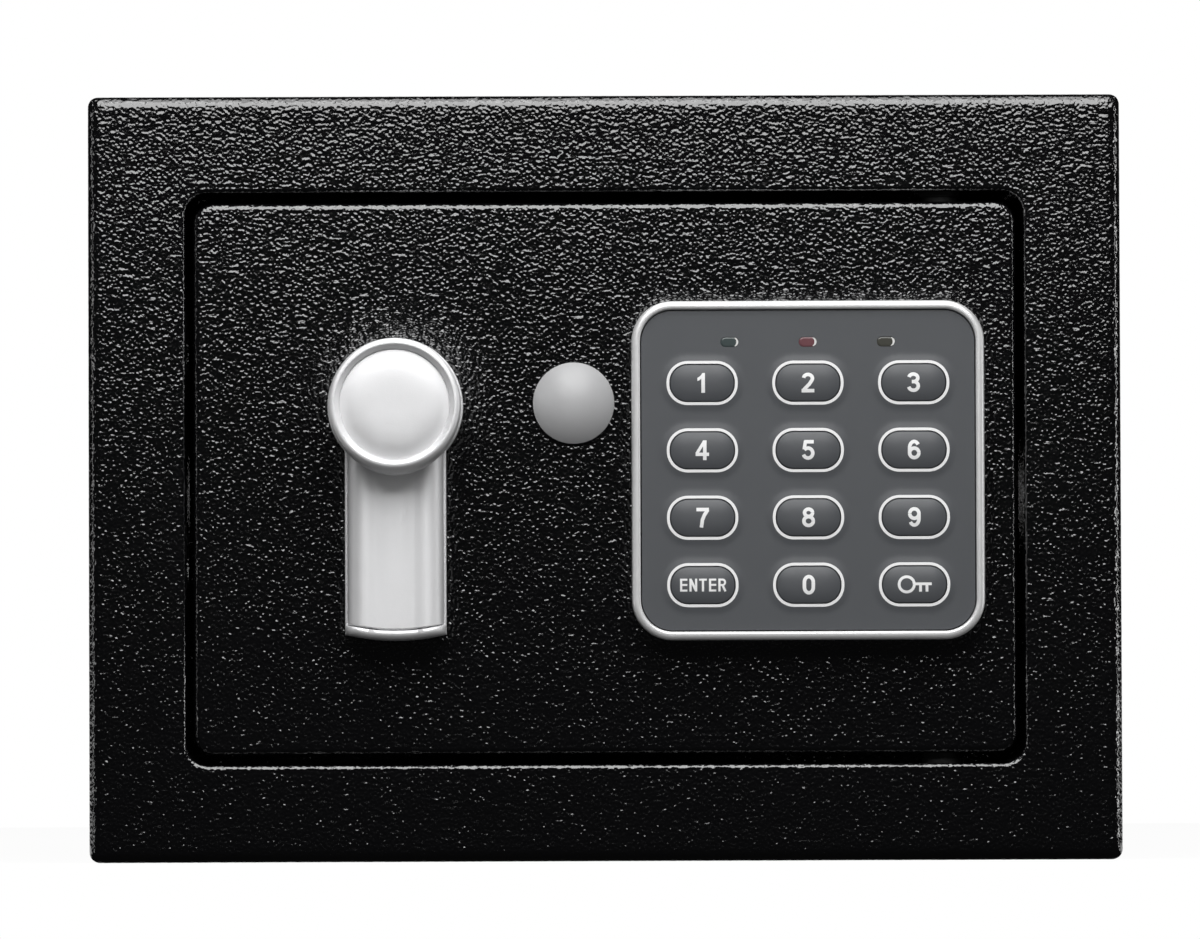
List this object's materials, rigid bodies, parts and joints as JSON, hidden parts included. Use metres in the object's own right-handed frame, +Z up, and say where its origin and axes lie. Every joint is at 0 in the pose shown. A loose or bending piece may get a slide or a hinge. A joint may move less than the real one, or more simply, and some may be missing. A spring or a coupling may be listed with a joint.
{
  "type": "electronic safe",
  "caption": "Small black steel safe with a keypad, a turning handle that throws two bolts, and an emergency key lock.",
  "frame": {"origin": "middle of the underside, between the two base anchor holes", "axes": "+X to the right seen from the front, the door faces -Y, +Z up"},
  "size_m": [0.23, 0.1895, 0.17],
  "materials": {
    "powder_black": "textured black powder coat",
    "satin_silver": "ABS with a satin metallic plating",
    "satin_casting": "satin plated casting",
    "grey_plastic": "grey moulded ABS, fine matt texture",
    "plug_plastic": "silver grey satin moulded ABS",
    "black_plastic": "black moulded ABS",
    "plated_steel": "bright zinc plated steel",
    "copper_wire": "enamelled copper winding under tape",
    "circuit_board": "solder mask on glass fibre board",
    "mat_rubber": "moulded silicone rubber",
    "lens_green": "dark green tinted lens",
    "lens_red": "dark red tinted lens",
    "lens_yellow": "dark yellow tinted lens",
    "cell_jacket": "plain printed sleeve",
    "wire_plastic": "PVC insulated wires",
    "button_red": "red moulded ABS"
  },
  "bodies": {
    "cabinet": {"front_frame": "powder_black", "body_wrap": "powder_black", "back_panel": "powder_black", "hinge_rod": "plated_steel", "hinge_washers": "plated_steel"},
    "door": {"door_plate": "powder_black", "hinge_knuckles": "powder_black", "door_cover": "powder_black", "cover_posts": "plated_steel", "cover_screws": "plated_steel", "bolt_guide": "plated_steel", "guide_studs": "plated_steel", "handle_bush": "plated_steel", "lock_barrel": "plated_steel", "lock_nut": "plated_steel", "keypad_bezel": "satin_silver", "keypad_tray": "black_plastic", "keypad_panel": "grey_plastic", "keypad_board": "circuit_board", "key_mat": "mat_rubber", "led_green": "lens_green", "led_red": "lens_red", "led_yellow": "lens_yellow", "keypad_screws": "plated_steel", "battery_box": "black_plastic", "battery_cells": "cell_jacket", "battery_contacts": "plated_steel", "wire_loom": "wire_plastic", "solenoid_frame": "plated_steel", "solenoid_coil": "copper_wire", "solenoid_spring": "plated_steel", "reset_switch": "black_plastic"},
    "bolt_slide": {"slide_plate": "plated_steel", "locking_bolts": "plated_steel", "bolt_screws": "plated_steel"},
    "handle": {"handle_base": "satin_casting", "handle_cover": "satin_silver", "handle_cap": "satin_silver", "handle_spindle": "plated_steel", "spindle_crank": "plated_steel", "spindle_clip": "plated_steel"},
    "plunger": {"solenoid_plunger": "plated_steel"},
    "lock_cylinder": {"lock_core": "plated_steel", "lock_cam": "plated_steel"},
    "plug": {"cover_plug": "plug_plastic"},
    "lid": {"battery_lid": "black_plastic"},
    "reset": {"reset_button": "button_red"},
    "button_1": {"key_1": "grey_plastic"},
    "button_2": {"key_2": "grey_plastic"},
    "button_3": {"key_3": "grey_plastic"},
    "button_4": {"key_4": "grey_plastic"},
    "button_5": {"key_5": "grey_plastic"},
    "button_6": {"key_6": "grey_plastic"},
    "button_7": {"key_7": "grey_plastic"},
    "button_8": {"key_8": "grey_plastic"},
    "button_9": {"key_9": "grey_plastic"},
    "button_enter": {"key_enter": "grey_plastic"},
    "button_0": {"key_0": "grey_plastic"},
    "button_unlock": {"key_unlock": "grey_plastic"}
  },
  "joints": [
    {"name": "door_swing", "type": "hinge", "parent": "cabinet", "child": "door", "pos_m": [0.07469, -0.0775, 0.085], "axis": [0, 0, 1], "range_deg": [0, 100]},
    {"name": "handle_turn", "type": "hinge", "parent": "door", "child": "handle", "pos_m": [-0.0464, -0.0845, 0.101], "axis": [0, 1, 0], "range_deg": [0, 90]},
    {"name": "bolt_throw", "type": "slide", "parent": "door", "child": "bolt_slide", "axis": [-1, 0, 0], "range_m": [0, 0.01415]},
    {"name": "plunger_lift", "type": "slide", "parent": "door", "child": "plunger", "axis": [0, 0, 1], "range_m": [0, 0.004], "deforming": ["solenoid_spring"]},
    {"name": "lock_turn", "type": "hinge", "parent": "door", "child": "lock_cylinder", "pos_m": [-0.0069, -0.0845, 0.1016], "axis": [0, 1, 0], "range_deg": [-90, 0]},
    {"name": "plug_pull", "type": "slide", "parent": "door", "child": "plug", "axis": [0, -1, 0], "range_m": [0, 0.02]},
    {"name": "lid_lift_off", "type": "slide", "parent": "door", "child": "lid", "axis": [0, 1, 0], "range_m": [0, 0.025]},
    {"name": "reset_press", "type": "slide", "parent": "door", "child": "reset", "axis": [0, -1, 0], "range_m": [0, 0.0015], "stiffness_N_per_m": 300},
    {"name": "key_1_press", "type": "slide", "parent": "door", "child": "button_1", "axis": [0, 1, 0], "range_m": [0, 0.0008], "stiffness_N_per_m": 600},
    {"name": "key_2_press", "type": "slide", "parent": "door", "child": "button_2", "axis": [0, 1, 0], "range_m": [0, 0.0008], "stiffness_N_per_m": 600},
    {"name": "key_3_press", "type": "slide", "parent": "door", "child": "button_3", "axis": [0, 1, 0], "range_m": [0, 0.0008], "stiffness_N_per_m": 600},
    {"name": "key_4_press", "type": "slide", "parent": "door", "child": "button_4", "axis": [0, 1, 0], "range_m": [0, 0.0008], "stiffness_N_per_m": 600},
    {"name": "key_5_press", "type": "slide", "parent": "door", "child": "button_5", "axis": [0, 1, 0], "range_m": [0, 0.0008], "stiffness_N_per_m": 600},
    {"name": "key_6_press", "type": "slide", "parent": "door", "child": "button_6", "axis": [0, 1, 0], "range_m": [0, 0.0008], "stiffness_N_per_m": 600},
    {"name": "key_7_press", "type": "slide", "parent": "door", "child": "button_7", "axis": [0, 1, 0], "range_m": [0, 0.0008], "stiffness_N_per_m": 600},
    {"name": "key_8_press", "type": "slide", "parent": "door", "child": "button_8", "axis": [0, 1, 0], "range_m": [0, 0.0008], "stiffness_N_per_m": 600},
    {"name": "key_9_press", "type": "slide", "parent": "door", "child": "button_9", "axis": [0, 1, 0], "range_m": [0, 0.0008], "stiffness_N_per_m": 600},
    {"name": "key_enter_press", "type": "slide", "parent": "door", "child": "button_enter", "axis": [0, 1, 0], "range_m": [0, 0.0008], "stiffness_N_per_m": 600},
    {"name": "key_0_press", "type": "slide", "parent": "door", "child": "button_0", "axis": [0, 1, 0], "range_m": [0, 0.0008], "stiffness_N_per_m": 600},
    {"name": "key_unlock_press", "type": "slide", "parent": "door", "child": "button_unlock", "axis": [0, 1, 0], "range_m": [0, 0.0008], "stiffness_N_per_m": 600}
  ],
  "couplings": [
    {"joint": "bolt_throw", "follows": "handle_turn", "m_per_rad": 0.0090032}
  ]
}
